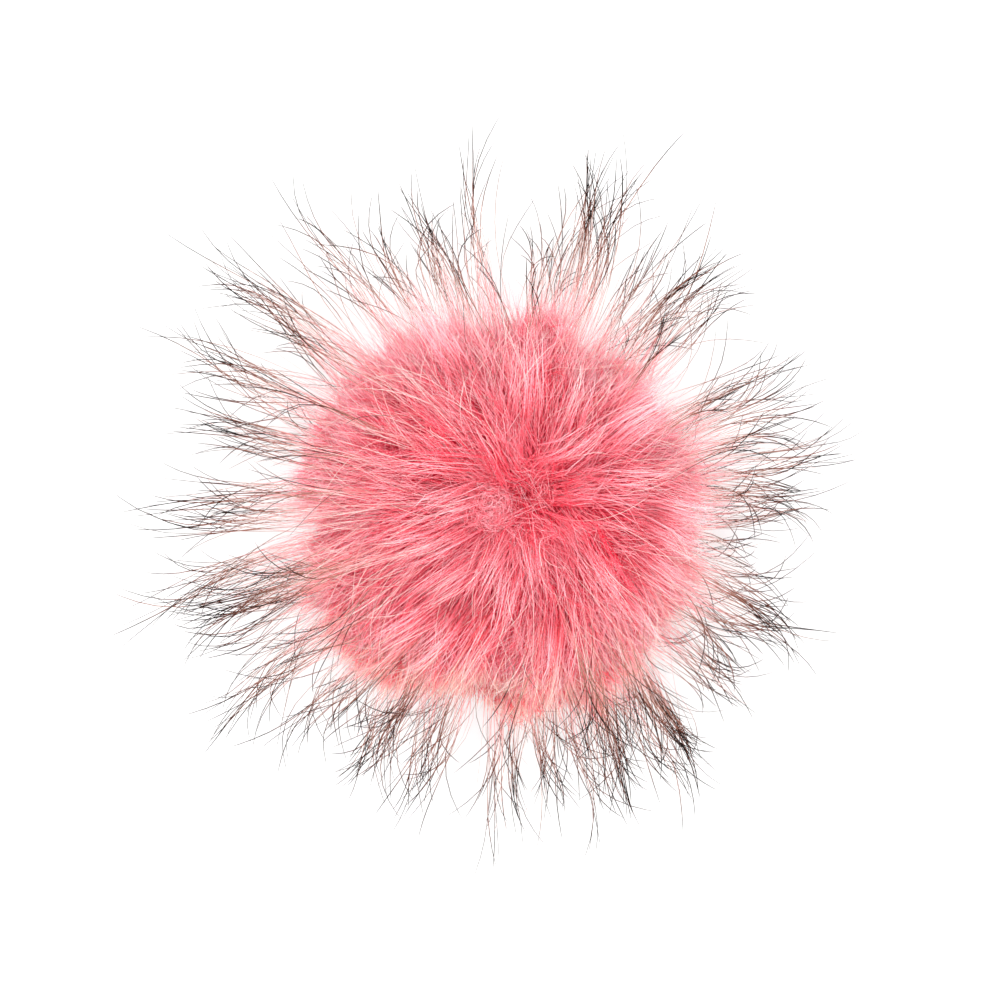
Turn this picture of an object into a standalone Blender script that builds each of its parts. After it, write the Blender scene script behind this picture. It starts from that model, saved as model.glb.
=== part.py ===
"""Long-haired fur pom pom resting on a flat surface.

One dense ball of underfur, drawn up from a disc of pelt, with its guard hair
standing out from it in clumps. The ball is a lumpy dome with a small flat
spot under it. The guard hair grows from the ball as tapered three-sided locks
that fan outwards from the whorl on top, stand apart from each other, and lie
level where they reach the surface.

Frame: the middle of the footprint is the origin, the surface is z = 0, the
whorl looks along +Z. Bearings are degrees from +X towards +Y.
"""
import math
import random
from collections import namedtuple

import bmesh
import bpy
from mathutils import Vector
from mathutils.kdtree import KDTree

MM = 0.001

# Dense ball of underfur
EQUATOR_HEIGHT = 27.5 * MM
DOME_RISE = 34.0 * MM
UNDERSIDE_DROP = 29.6 * MM
DOME_FULLNESS = 0.86
BALL_SHARE_OF_RIM = 0.965
BALL_SUBDIVISIONS = 5

# Whorl on top, from which the fur is combed outwards
WHORL_X = 5.2 * MM
WHORL_Y = 0.6 * MM
WHORL_DIP = 5.6 * MM
WHORL_HALF_WIDTH = 6.5 * MM

# Tufts raised all over the ball
TUFT_COUNT = 150
TUFT_RISE = 3.1 * MM
TUFT_HALF_WIDTH = 4.2 * MM
TUFT_INNER_LENGTH = 10.0 * MM
TUFT_OUTER_LENGTH = 3.6 * MM
TUFT_UNEVEN_DEGREES = 7.0
TUFT_SIZES = (0.55, 1.25)
TUFT_SEED = 11

# Section of a lock of guard hair, from its root to its tip
ROOT_RADIUS = 1.70 * MM
BELLY_RADIUS = 2.05 * MM
MIDDLE_RADIUS = 1.65 * MM
OUTER_RADIUS = 0.90 * MM
SECTION_PLACES = (0.27, 0.55, 0.80)
SECTION_RADII = (BELLY_RADIUS, MIDDLE_RADIUS, OUTER_RADIUS)
SECTION_LOOK = 0.06

# Curve of a lock: how it leaves the ball, how it ends, and its bend aside
LEAVE_BY_NORMAL = 0.75
LEAVE_BY_TIP = 0.75
END_BY_LEVEL = 0.75
NEAR_HANDLE = 0.36
FAR_HANDLE = 0.34
SWAY = 0.14
ARCHES = (0.0, 0.25, 0.55, 0.9)

# How locks stand apart
LOCK_GAP = 0.4 * MM
BALL_GAP = 0.4 * MM
ROOT_SPACING = 4.3 * MM
LOWEST_ROOT = 4.0 * MM
LOCK_STEPS = 14
FREE_FROM_STEP = 4
ROOTS_TO_TRY = 24
TRIES = 6
LOCK_SEED = 5
MOST_LOCKS = 298

# Rim locks: how unevenly a clump's locks are set out
ROOT_FAN = 1.25
TIP_FAN = 0.95
ROOT_UNEVEN_DEGREES = 4.0
TIP_UNEVEN_DEGREES = 2.0
CLIMB_UNEVEN_DEGREES = 9.0
SHORTEST_SHARE = 0.90

# Crown locks, on the dome inside the rim
CROWN_COUNT = 84
CROWN_INNER = 5.0 * MM
CROWN_OUTER = 31.0 * MM
CROWN_LENGTH = 17.0 * MM
CROWN_LENGTHS = (0.80, 1.25)
CROWN_RUN = 0.85
CROWN_RISES = (0.28, 0.55)
CROWN_ASIDE = 0.22
DOME_RADIUS = 42.0 * MM

GOLDEN_ANGLE = 137.508

# Edge of the dense fur seen from above: bearing, and radius in mm
RimPoint = namedtuple("RimPoint", "bearing radius")
RIM = (
    RimPoint(0, 42.4),
    RimPoint(20, 40.4),
    RimPoint(40, 39.0),
    RimPoint(60, 35.6),
    RimPoint(80, 40.6),
    RimPoint(100, 36.8),
    RimPoint(120, 40.8),
    RimPoint(140, 42.4),
    RimPoint(160, 41.6),
    RimPoint(180, 41.6),
    RimPoint(200, 45.0),
    RimPoint(220, 47.0),
    RimPoint(240, 46.0),
    RimPoint(260, 42.6),
    RimPoint(280, 44.6),
    RimPoint(300, 46.8),
    RimPoint(320, 45.4),
    RimPoint(340, 43.4),
)

# Partings between tufts on the dome: ends, half width and depth in mm
Parting = namedtuple("Parting", "x0 y0 x1 y1 half_width depth")
PARTINGS = (
    Parting(-5.6, 21.3, -2.6, 8.2, 2.8, 3.8),
    Parting(9.5, 17.2, 6.5, 11.2, 2.6, 3.6),
    Parting(-29.2, 15.9, -12.3, 3.9, 2.8, 3.6),
    Parting(15.7, 8.4, 12.0, 3.0, 2.6, 3.6),
    Parting(13.1, -2.8, 25.2, -3.4, 2.6, 3.8),
    Parting(10.5, -14.6, 12.5, -11.4, 2.6, 3.0),
    Parting(23.9, -8.8, 30.5, -20.9, 3.6, 4.4),
    Parting(-26.2, 24.9, -18.0, 17.0, 2.6, 3.0),
)

# Clumps of guard hair round the rim: bearing, half spread in degrees,
# reach from the middle in mm, and number of locks in the clump
Clump = namedtuple("Clump", "bearing spread reach locks")
CLUMPS = (
    Clump(357, 5, 72, 10),
    Clump(11, 6, 78, 10),
    Clump(24, 4, 73, 6),
    Clump(45, 6, 71, 10),
    Clump(57, 4, 72, 5),
    Clump(71, 6, 80, 12),
    Clump(82, 3, 60, 4),
    Clump(97, 5, 75, 8),
    Clump(107, 4, 73, 6),
    Clump(117, 4, 72, 6),
    Clump(127, 3, 80, 5),
    Clump(141, 6, 84, 12),
    Clump(157, 5, 81, 8),
    Clump(168, 4, 74, 6),
    Clump(183, 6, 79, 11),
    Clump(201, 7, 80, 15),
    Clump(218, 6, 77, 10),
    Clump(231, 4, 71, 7),
    Clump(242, 5, 67, 11),
    Clump(254, 5, 69, 8),
    Clump(270, 5, 78, 8),
    Clump(280, 4, 73, 7),
    Clump(292, 6, 74, 13),
    Clump(304, 5, 76, 12),
    Clump(320, 6, 71, 9),
    Clump(333, 5, 74, 10),
    Clump(344, 4, 66, 8),
)

# Rows of locks round the ball: height of the root above the equator in
# degrees, climb of the tip in degrees, and share of the clump's reach
Row = namedtuple("Row", "root_height tip_climb reach_share")
ROWS = (
    Row(4, 1, 1.00),
    Row(21, 13, 0.96),
    Row(-14, -12, 0.97),
    Row(36, 22, 0.87),
    Row(-30, -45, 0.84),
    Row(51, 25, 0.75),
    Row(-43, -60, 0.70),
)


def clear_scene():
    """Start from nothing."""
    for thing in list(bpy.data.objects):
        bpy.data.objects.remove(thing, do_unlink=True)


def direction_at(bearing, height):
    """Direction with a bearing and a height above the level, in degrees."""
    turn = math.radians(bearing)
    level = math.cos(math.radians(height))
    return Vector((level * math.cos(turn), level * math.sin(turn), math.sin(math.radians(height))))


def rim_radius(bearing):
    """Radius of the dense fur at a bearing, eased between the table's rows."""
    step = 360.0 / len(RIM)
    place = (bearing % 360.0) / step
    row = int(place) % len(RIM)
    share = place - int(place)
    eased = 0.5 - 0.5 * math.cos(math.pi * share)
    here = RIM[row].radius
    there = RIM[(row + 1) % len(RIM)].radius
    return (here + (there - here) * eased) * MM * BALL_SHARE_OF_RIM


def smooth_point(direction):
    """Point of the ball in a direction from its middle, without its tufts."""
    turn = math.atan2(direction.y, direction.x)
    level = math.hypot(direction.x, direction.y)
    radius = rim_radius(math.degrees(turn)) * level ** DOME_FULLNESS
    half_height = DOME_RISE if direction.z >= 0.0 else UNDERSIDE_DROP
    lean = max(direction.z, 0.0)
    x = radius * math.cos(turn) + WHORL_X * lean
    y = radius * math.sin(turn) + WHORL_Y * lean
    return Vector((x, y, EQUATOR_HEIGHT + half_height * direction.z))


def place_tufts():
    """Middles and sizes of the tufts, spread over the ball a little unevenly."""
    dice = random.Random(TUFT_SEED)
    tufts = []
    for number in range(TUFT_COUNT):
        height = math.degrees(math.asin(1.0 - 2.0 * (number + 0.5) / TUFT_COUNT))
        aside = dice.uniform(-TUFT_UNEVEN_DEGREES, TUFT_UNEVEN_DEGREES)
        middle = smooth_point(direction_at(number * GOLDEN_ANGLE + aside, height))
        tufts.append((middle, dice.uniform(*TUFT_SIZES)))
    return tufts


def combed(point):
    """Way the fur is combed at a point: away from the whorl on top, downwards at the sides."""
    away = Vector((point.x - WHORL_X, point.y - WHORL_Y, 0.0))
    away = away.normalized() if away.length > 0.0 else Vector((1.0, 0.0, 0.0))
    fall = min(1.0, abs(EQUATOR_HEIGHT - point.z) / DOME_RISE)
    steep = math.sqrt(1.0 - fall * fall)
    return (away * (1.0 - steep) - Vector((0.0, 0.0, steep))).normalized()


def tuft_rise(point, tufts):
    """Height that the tufts add at a point; each is steep at its outer end."""
    flow = combed(point)
    rise = 0.0
    for middle, size in tufts:
        step = point - middle
        along = step.dot(flow)
        across = (step - flow * along).length
        reach = TUFT_INNER_LENGTH if along < 0.0 else TUFT_OUTER_LENGTH
        fade = (along / reach) ** 2 + (across / TUFT_HALF_WIDTH) ** 2
        rise = max(rise, size * math.exp(-fade))
    return rise * TUFT_RISE


def parting_depth(point):
    """Depth of the partings and of the whorl's dip at a point of the dome."""
    if point.z < EQUATOR_HEIGHT:
        return 0.0
    depth = 0.0
    for cut in PARTINGS:
        start = Vector((cut.x0, cut.y0)) * MM
        run = Vector((cut.x1, cut.y1)) * MM - start
        here = Vector((point.x, point.y)) - start
        share = min(1.0, max(0.0, here.dot(run) / run.length_squared))
        away = (here - run * share).length / (cut.half_width * MM)
        depth = max(depth, cut.depth * MM * math.exp(-away * away))
    whorl = math.hypot(point.x - WHORL_X, point.y - WHORL_Y) / WHORL_HALF_WIDTH
    return depth + WHORL_DIP * math.exp(-whorl * whorl)


def fur_point(direction, tufts):
    """Point of the ball in a direction, with its tufts, partings and flat spot."""
    point = smooth_point(direction)
    if point.z <= 0.0:
        return Vector((point.x, point.y, 0.0))
    outward = (point - Vector((0.0, 0.0, EQUATOR_HEIGHT))).normalized()
    raised = point + outward * (tuft_rise(point, tufts) - parting_depth(point))
    raised.z = max(raised.z, 0.0)
    return raised


def bezier(start, near, far, end, t):
    """Point of a curve with two ends and two handles."""
    s = 1.0 - t
    return start * s ** 3 + near * (3.0 * s * s * t) + far * (3.0 * s * t * t) + end * t ** 3


def lock_radius(t):
    """Radius of a lock from its root, 0, to its tip, 1."""
    places = (0.0,) + SECTION_PLACES + (1.0,)
    radii = (ROOT_RADIUS,) + SECTION_RADII + (0.0,)
    for low, high, near, far in zip(places, places[1:], radii, radii[1:]):
        if t <= high:
            return near + (far - near) * (t - low) / (high - low)
    return 0.0


def lock_curve(root, normal, tip, arch, sway):
    """Ends and handles of a lock that leaves the ball outwards and bends to its tip."""
    length = (tip - root).length
    out = (tip - root).normalized()
    leave = (normal * (LEAVE_BY_NORMAL + arch) + out * LEAVE_BY_TIP).normalized()
    level = Vector((out.x, out.y, 0.0)).normalized()
    aside = Vector((-level.y, level.x, 0.0))
    arrive = level * END_BY_LEVEL + out * (1.0 - END_BY_LEVEL)
    near = root + leave * length * NEAR_HANDLE
    far = tip - arrive * length * FAR_HANDLE + aside * length * sway
    return root, near, far, tip


def lock_point(curve, t, radius):
    """Point along a lock, high enough there to lie level on the surface."""
    point = bezier(*curve, t)
    point.z = max(point.z, radius * 0.5)
    return point


def lock_points(curve):
    """Points along a lock, with its radius at each."""
    points = []
    for step in range(LOCK_STEPS + 1):
        t = step / LOCK_STEPS
        points.append((lock_point(curve, t, lock_radius(t)), lock_radius(t)))
    return points


def search_tree(points):
    """Search tree of points."""
    tree = KDTree(len(points))
    for number, point in enumerate(points):
        tree.insert(point, number)
    tree.balance()
    return tree


class Fur:
    """Ball of fur as a mesh, with the roots and the room that its locks take."""

    def __init__(self):
        self.bm = bmesh.new()
        bmesh.ops.create_icosphere(self.bm, subdivisions=BALL_SUBDIVISIONS, radius=1.0)
        self.bm.verts.index_update()
        self.faces = list(self.bm.faces)
        self.ways = search_tree([face.calc_center_median().normalized() for face in self.faces])
        tufts = place_tufts()
        for vert in self.bm.verts:
            vert.co = fur_point(vert.co.normalized(), tufts)
        self.bm.normal_update()
        self.middles = [face.calc_center_median() for face in self.faces]
        self.normals = [face.normal.copy() for face in self.faces]
        self.corners = [{vert.index for vert in face.verts} for face in self.faces]
        self.skin = search_tree([vert.co for vert in self.bm.verts])
        self.skin_normals = [vert.normal.copy() for vert in self.bm.verts]
        self.roots = []
        self.root_corners = set()
        self.grown = []

    def root_towards(self, way):
        """Face for a new root nearest to a direction, or None where it is crowded."""
        for _, number, _ in self.ways.find_n(way, ROOTS_TO_TRY):
            middle = self.middles[number]
            if middle.z < LOWEST_ROOT or self.corners[number] & self.root_corners:
                continue
            if all((middle - other).length > ROOT_SPACING for other in self.roots):
                return number
        return None

    def height_over(self, point):
        """Height of a point over the ball."""
        near, number, _ = self.skin.find(point)
        return (point - near).dot(self.skin_normals[number])

    def clear_of_all(self, points):
        """Whether a lock stands apart from the ball and from all other locks."""
        for step, (point, radius) in enumerate(points):
            if step >= FREE_FROM_STEP and self.height_over(point) < radius + BALL_GAP:
                return False
            for other in self.grown:
                for place, width in other:
                    if (place - point).length < radius + width + LOCK_GAP:
                        return False
        return True

    def fit_lock(self, number, tip, sway):
        """Curve of a lock from a face to a tip, arched until it is clear, or None."""
        for arch in ARCHES:
            curve = lock_curve(self.middles[number], self.normals[number], tip, arch, sway)
            points = lock_points(curve)
            if self.clear_of_all(points):
                self.roots.append(self.middles[number])
                self.root_corners |= self.corners[number]
                self.grown.append(points)
                return curve
        return None


def rim_tip(bearing, reach, climb, root):
    """Tip of a rim lock at a bearing and reach, climbing from its root."""
    run = reach - math.hypot(root.x, root.y)
    height = root.z + run * math.tan(math.radians(climb))
    tip = direction_at(bearing, 0.0) * reach
    tip.z = max(height, 0.0)
    return tip


def rim_lock(fur, dice, clump, number):
    """One lock of a clump, as its root face and its curve, or None."""
    row = ROWS[number % len(ROWS)]
    in_order = number / (clump.locks - 1) * 2.0 - 1.0
    aside = 0.4 * in_order + 0.6 * math.sin(math.radians(number * GOLDEN_ANGLE))
    bearing = clump.bearing + aside * clump.spread * ROOT_FAN
    for _ in range(TRIES):
        height = row.root_height + dice.uniform(-ROOT_UNEVEN_DEGREES, ROOT_UNEVEN_DEGREES)
        face = fur.root_towards(direction_at(bearing, height))
        if face is None:
            return None
        toward = clump.bearing + aside * clump.spread * TIP_FAN
        toward += dice.uniform(-TIP_UNEVEN_DEGREES, TIP_UNEVEN_DEGREES)
        reach = clump.reach * MM * row.reach_share
        if number > 0:
            reach *= dice.uniform(SHORTEST_SHARE, 1.0)
        climb = row.tip_climb + dice.uniform(-CLIMB_UNEVEN_DEGREES, CLIMB_UNEVEN_DEGREES)
        tip = rim_tip(toward, reach, climb, fur.middles[face])
        curve = fur.fit_lock(face, tip, dice.uniform(-SWAY, SWAY))
        if curve is not None:
            return face, curve
        bearing += dice.uniform(-ROOT_UNEVEN_DEGREES, ROOT_UNEVEN_DEGREES)
    return None


def crown_lock(fur, dice, number):
    """One lock on the dome, combed away from the whorl over the fur, or None."""
    share = math.sqrt((number + 0.5) / CROWN_COUNT)
    radius = CROWN_INNER + (CROWN_OUTER - CROWN_INNER) * share
    level = (radius / DOME_RADIUS) ** (1.0 / DOME_FULLNESS)
    height = math.degrees(math.acos(level))
    face = fur.root_towards(direction_at(number * GOLDEN_ANGLE, height))
    if face is None:
        return None
    root = fur.middles[face]
    normal = fur.normals[face]
    flow = combed(root)
    for _ in range(TRIES):
        length = CROWN_LENGTH * dice.uniform(*CROWN_LENGTHS)
        step = flow * CROWN_RUN + normal * dice.uniform(*CROWN_RISES)
        step += flow.cross(normal) * dice.uniform(-CROWN_ASIDE, CROWN_ASIDE)
        curve = fur.fit_lock(face, root + step * length, dice.uniform(-SWAY, SWAY))
        if curve is not None:
            return face, curve
    return None


def set_out_locks(fur):
    """All the locks: first the clumps round the rim, then the crown."""
    dice = random.Random(LOCK_SEED)
    locks = []
    for clump in CLUMPS:
        for number in range(clump.locks):
            locks.append(rim_lock(fur, dice, clump, number))
    for number in range(CROWN_COUNT):
        locks.append(crown_lock(fur, dice, number))
    found = [lock for lock in locks if lock is not None]
    return found[:MOST_LOCKS]


def place_section(face, curve, t, radius, heading):
    """Move an extruded face to its place along its lock, and return the new heading."""
    before = face.calc_center_median()
    point = lock_point(curve, t, radius)
    ahead = lock_point(curve, t + SECTION_LOOK, radius)
    behind = lock_point(curve, t - SECTION_LOOK, radius)
    onward = (ahead - behind).normalized()
    turn = heading.rotation_difference(onward)
    for vert in face.verts:
        spoke = turn @ (vert.co - before)
        spoke -= onward * spoke.dot(onward)
        vert.co = point + spoke.normalized() * radius
    lowest = min(vert.co.z for vert in face.verts)
    for vert in face.verts:
        vert.co.z -= min(lowest, 0.0)
    return onward


def in_place_order(faces, middles):
    """Faces in the order of the middles that they lie on."""
    tree = search_tree(middles)
    ordered = [None] * len(middles)
    for face in faces:
        ordered[tree.find(face.calc_center_median())[1]] = face
    return ordered


def grow_locks(fur, locks):
    """Draw every lock out of its root face, section by section, to a point."""
    faces = [fur.faces[number] for number, _ in locks]
    curves = [curve for _, curve in locks]
    headings = [face.normal.copy() for face in faces]
    for t, radius in zip(SECTION_PLACES, SECTION_RADII):
        middles = [face.calc_center_median() for face in faces]
        drawn = bmesh.ops.extrude_discrete_faces(fur.bm, faces=faces)["faces"]
        faces = in_place_order(drawn, middles)
        for number, face in enumerate(faces):
            headings[number] = place_section(face, curves[number], t, radius, headings[number])
    tree = search_tree([face.calc_center_median() for face in faces])
    for vert in bmesh.ops.poke(fur.bm, faces=faces)["verts"]:
        vert.co = curves[tree.find(vert.co)[1]][3]


def fur_material():
    """Dyed fur: pink and dull."""
    material = bpy.data.materials.new("fur")
    material.use_nodes = True
    shader = material.node_tree.nodes["Principled BSDF"]
    shader.inputs["Base Color"].default_value = (0.86, 0.27, 0.32, 1.0)
    shader.inputs["Roughness"].default_value = 0.8
    shader.inputs["Metallic"].default_value = 0.0
    return material


def middle_of_footprint(bm):
    """Middle of the mesh's box, seen from above."""
    xs = [vert.co.x for vert in bm.verts]
    ys = [vert.co.y for vert in bm.verts]
    return Vector((min(xs) + max(xs), min(ys) + max(ys), 0.0)) / 2.0


def make_fur_ball(collection):
    """The whole pom pom as one closed body."""
    fur = Fur()
    grow_locks(fur, set_out_locks(fur))
    bmesh.ops.translate(fur.bm, verts=fur.bm.verts, vec=-middle_of_footprint(fur.bm))
    bmesh.ops.triangulate(fur.bm, faces=fur.bm.faces)
    mesh = bpy.data.meshes.new("fur_ball")
    fur.bm.to_mesh(mesh)
    fur.bm.free()
    mesh.materials.append(fur_material())
    ball = bpy.data.objects.new("fur_ball", mesh)
    collection.objects.link(ball)


def main():
    """Build the pom pom."""
    clear_scene()
    collection = bpy.data.collections.new("fur_pom_pom")
    bpy.context.scene.collection.children.link(collection)
    make_fur_ball(collection)


main()
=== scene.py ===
"""Long-haired fur pom pom seen from above on a pale surface.

A closed ball carries the hair, all of it laid as copies of a few modelled
hairs: dense underfur combed away from the whorl in tufts, crimped fluff over
it, thin pale hair, and long guard hair with dark tips in clumps. The guard
hair follows the locks of the frame's own solid. Lengths are metres. A share is
a part of the ball's size, 1 at the surface of the dense fur. A tone from 0 to
1 picks the colour of a hair.
"""
import math

import bmesh
import bpy
import numpy as np
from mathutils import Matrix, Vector


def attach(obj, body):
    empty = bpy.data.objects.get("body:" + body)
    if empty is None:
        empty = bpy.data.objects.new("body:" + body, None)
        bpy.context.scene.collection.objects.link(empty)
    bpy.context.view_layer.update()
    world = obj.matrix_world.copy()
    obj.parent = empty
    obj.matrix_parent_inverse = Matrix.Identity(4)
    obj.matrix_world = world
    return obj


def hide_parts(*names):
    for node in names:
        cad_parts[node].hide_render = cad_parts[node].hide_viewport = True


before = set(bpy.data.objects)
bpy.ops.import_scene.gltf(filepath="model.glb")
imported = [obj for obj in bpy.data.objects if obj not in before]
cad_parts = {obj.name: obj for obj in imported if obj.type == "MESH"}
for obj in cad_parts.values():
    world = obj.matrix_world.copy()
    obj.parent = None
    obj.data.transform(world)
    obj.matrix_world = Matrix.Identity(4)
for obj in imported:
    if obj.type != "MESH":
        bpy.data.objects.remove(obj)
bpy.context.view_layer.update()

MM = 0.001
BODY = "root"
NODE = "fur_ball"

# Map of a hair: a strip for each tone, and root to tip along the strip
HAIR_MAP = "OFBake"
TONE_STRIPS = 128
STRIP_FILL = 0.9
MAP_MARGIN = 0.01

# Modelled hairs: heights of the rings, and the radius at each
LONG_CUTS = (0.15, 0.3, 0.44, 0.56, 0.68, 0.79, 0.88, 0.95)
HAIR_MODELS = {
    "underfur": ((0.64,), (0.8,)),
    "short": ((0.4, 0.74), (0.95, 0.68)),
    "wavy": ((0.25, 0.5, 0.7, 0.86), (1.0, 0.9, 0.75, 0.5)),
    "bent": ((0.16, 0.32, 0.48, 0.64, 0.8), (1.0, 0.98, 0.92, 0.84, 0.66)),
    "long": (LONG_CUTS, (1.0, 1.0, 1.0, 0.97, 0.92, 0.84, 0.72, 0.5)),
    "guard": (LONG_CUTS, (0.46, 0.5, 0.6, 0.78, 0.95, 1.0, 0.88, 0.62)),
}
RING_REACH = 1e-4
SEED = 21

# Least height of a hair's middle, and of its skin
FLOOR_CLEAR = 0.35 * MM
FLOOR_TOUCH = 0.05 * MM

# Ball of dense fur, as in the solid
EQUATOR_HEIGHT = 27.5 * MM
DOME_RISE = 34.0 * MM
UNDERSIDE_DROP = 29.6 * MM
DOME_FULLNESS = 0.86
WHORL = np.array((5.2, 0.6)) * MM
WHORL_DIP = 5.6 * MM
WHORL_HALF_WIDTH = 6.5 * MM
WHORL_SLIT = 0.12
RIM_RADII = np.array((42.4, 40.4, 39.0, 35.6, 40.6, 36.8, 40.8, 42.4, 41.6,
                      41.6, 45.0, 47.0, 46.0, 42.6, 44.6, 46.8, 45.4, 43.4)) * MM

# Partings between tufts: ends and half width in mm
PARTINGS = (
    (-5.6, 21.3, -2.6, 8.2, 2.8),
    (9.5, 17.2, 6.5, 11.2, 2.6),
    (-29.2, 15.9, -12.3, 3.9, 2.8),
    (15.7, 8.4, 12.0, 3.0, 2.6),
    (13.1, -2.8, 25.2, -3.4, 2.6),
    (10.5, -14.6, 12.5, -11.4, 2.6),
    (23.9, -8.8, 30.5, -20.9, 3.6),
    (-26.2, 24.9, -18.0, 17.0, 2.6),
)
PARTING_PUSH = 2.0 * MM
PARTING_DIP = 2.8 * MM

# Knot of curled fur beside the whorl
KNOT = np.array((-2.0, -1.6)) * MM
KNOT_HALF_WIDTH = 4.8 * MM
KNOT_RISE = 3.6 * MM
KNOT_HAIRS = 360
KNOT_TONES = (0.4, 0.74)

# Mat of short hairs in the whorl's slit
MAT_HAIRS = 130
MAT_SPREAD = (4.0 * MM, 1.6 * MM)
MAT_TONES = (0.0, 0.35)

# Curled fluff on top: place and half widths in mm, depth in mm, number of hairs, and tone
CURLS = (
    (-11.8, 7.0, 2.4, 1.8, 0.4, 40, 0.45),
    (3.4, 1.6, 2.0, 2.6, 0.8, 60, 0.3),
    (8.2, 0.6, 3.8, 1.8, 1.0, 90, 0.15),
    (8.6, 2.4, 3.0, 2.0, 0.2, 40, 0.45),
    (24.0, -14.8, 3.2, 2.0, 0.6, 30, 0.3),
)
CURL_RADIUS = 0.058 * MM
CURL_TONE_SPREAD = 0.12

GOLDEN_ANGLE = math.radians(137.508)

# How far down a direction points, 0 to 1, where the low sides and the underside start and are full
LOW_SIDES = (0.0, 0.3)
UNDERNEATH = (0.75, 0.95)

# Share that the roots lie at: deeper on the low sides, where the fur is short
ROOT_SHARE = 0.88
LOW_ROOTS_DEEPER = 0.13
UNDER_ROOTS_BACK = 0.11

# Tufts of underfur, and the broad locks that they gather in
BROAD_LOCKS = 90
LOCK_BORDER = 0.06
LOCK_ASIDE = math.radians(13.0)
LOCK_RISE = 0.028
LOCK_TONE = 0.065
SUNK_LOCK_PAINTED_SHADE = 2.2
# Painted shade: locks that sink below the others get darker tones
FURROW_DEPTH = 0.035
TUFTS = 1400
TUFT_ASIDE = math.radians(6.0)
TUFT_RISE = 0.012
TUFT_TONE = 0.045
TUFT_GRIP = 0.25
WHORL_TUFTS_ABOVE = 0.985
SIDES_ROUGHER = 1.1

# Dense underfur; a tone is a middle and a spread
UNDERFUR_HAIRS = 34000
UNDERFUR_RADIUS = 0.1 * MM
UNDERFUR_ASIDE = math.radians(7.0)
UNDERFUR_RISE = 0.022
UNDERFUR_CURVE = 0.75
UNDERFUR_WAVE = 0.36 * MM
UNDERFUR_LEAST = 0.03
UNDERFUR_THIN_BELOW = -0.72
UNDERFUR_THIN_SHARE = 0.4
UNDERFUR_TONE = (0.39, 0.11)
SIDES_LONGER = 0.15
SIDES_SHORTER = 0.07
LOW_SHORTER = 0.12
UNDER_LONGER = 0.08
WHORL_HAIRS = 1900
WHORL_WAVE = 0.45 * MM
WHORL_TONE = (0.46, 0.12)

# Crimped fluff over the underfur, and in tufts and wool along the solid's locks
FLUFF_HAIRS = 26000
FLUFF_RADIUS = 0.072 * MM
FLUFF_ASIDE = math.radians(26.0)
FLUFF_WAVE = 0.5 * MM
FLUFF_LEAST = 0.06
FLUFF_ABOVE = -0.78
FLUFF_TONE = (0.55, 0.12)
SIDE_FLUFF_SHORTER = 0.05
LOW_FLUFF_SHORTER = 0.07
TUFT_PER_CROWN_LOCK = 40
TUFT_HALF_WIDTH = 2.2 * MM
CROWN_TUFT_TONE = (0.5, 0.14)
WOOL_PER_RIM_LOCK = 12
WOOL_HALF_WIDTH = 1.7 * MM
WOOL_TONE = (0.55, 0.12)
BUNCH_ROOT_DEPTH = 3.0 * MM
BUNCH_WAVE = 0.35 * MM

# Tones of fur: pink, then peach for the last quarter, round a bearing in degrees
PEACH_FROM = 0.75
PINK_END = 0.74
PEACH_TONES = (0.77, 0.99)
PEACH_BEARING = 264.0
PEACH_HALF_WIDTH = 50.0
PEACH_SHARE = 0.9
RIM_PALER = 0.3
# Painted light: hair low on the ball, where its shade falls, is given paler tones
UNDERSIDE_PAINTED_LIGHT = 0.2
TOP_PALER = 0.08
# Painted shade: tones are lowered near partings and in the furrows between locks, where shade
# falls
PARTING_PAINTED_SHADE = 0.42
FURROW_PAINTED_SHADE = 0.27

# Thin pale hair round the rim, laid over the top, and along the solid's locks
RIM_HAIRS = 800
RIM_HAIR_RADIUS = 0.055 * MM
RIM_HAIR_BEND = 1.6 * MM
LAID_HAIRS = 230
LAID_ASIDE = math.radians(17.0)
LAID_BROWN = 0.12
CROWN_PER_LOCK = 3
CROWN_BROWN = 0.08
THIN_PER_RIM_LOCK = 3
THIN_BROWN = 0.7
THIN_SPLAY = 3.4 * MM
BROWN_TONE = 0.95
PALE_RADIUS = 0.06 * MM

# Locks of long pale hair that lie over the top: bearing, angle from the whorl, and hairs
LAID_LOCKS = (
    (187.0, 0.55, 16),
    (208.0, 0.45, 8),
    (128.0, 0.50, 7),
    (300.0, 0.60, 8),
    (60.0, 0.55, 5),
)

# Guard hair along the solid's long locks: hairs a lock, and length, by bearing
RIM_LOCK_REACH = 50.0 * MM
GUARD_PER_LOCK = (7.8, 4.4, 7.5, 7.2, 3.5, 5.9, 2.1, 4.2, 3.4, 2.7, 5.3, 6.6,
                  3.6, 7.4, 6.2, 6.3, 8.5, 7.5, 4.6, 7.6, 8.7, 5.7, 9.8, 3.2)
GUARD_STRETCH = ((0, 0.99), (15, 0.96), (45, 1.02), (65, 1.08), (100, 1.07),
                 (120, 1.0), (135, 1.06), (165, 1.03), (180, 1.06), (197, 1.14),
                 (215, 1.09), (228, 1.14), (240, 1.17), (256, 1.15), (275, 1.03),
                 (300, 1.12), (320, 1.0), (332, 1.05), (360, 0.99))
GUARD_RADIUS = 0.113 * MM
GUARD_ROOT_DEPTH = 9.0 * MM
GUARD_ROOT_SPREAD = 2.4 * MM
GUARD_SHAFT_SPREAD = 2.2 * MM
GUARD_BEND = 4.4 * MM
GUARD_TIP_RISE = 3.0 * MM
GUARD_TONE = (0.6, 0.2)
BUNDLE_REACH = 8.0 * MM
BUNDLE_GRIP = 0.45
STRAY_HAIRS = 260
STRAY_ROOT_DEPTH = 8.0 * MM
STRAY_SPLAY = 9.0 * MM
STRAY_CLEAR = 1.2 * MM
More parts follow.
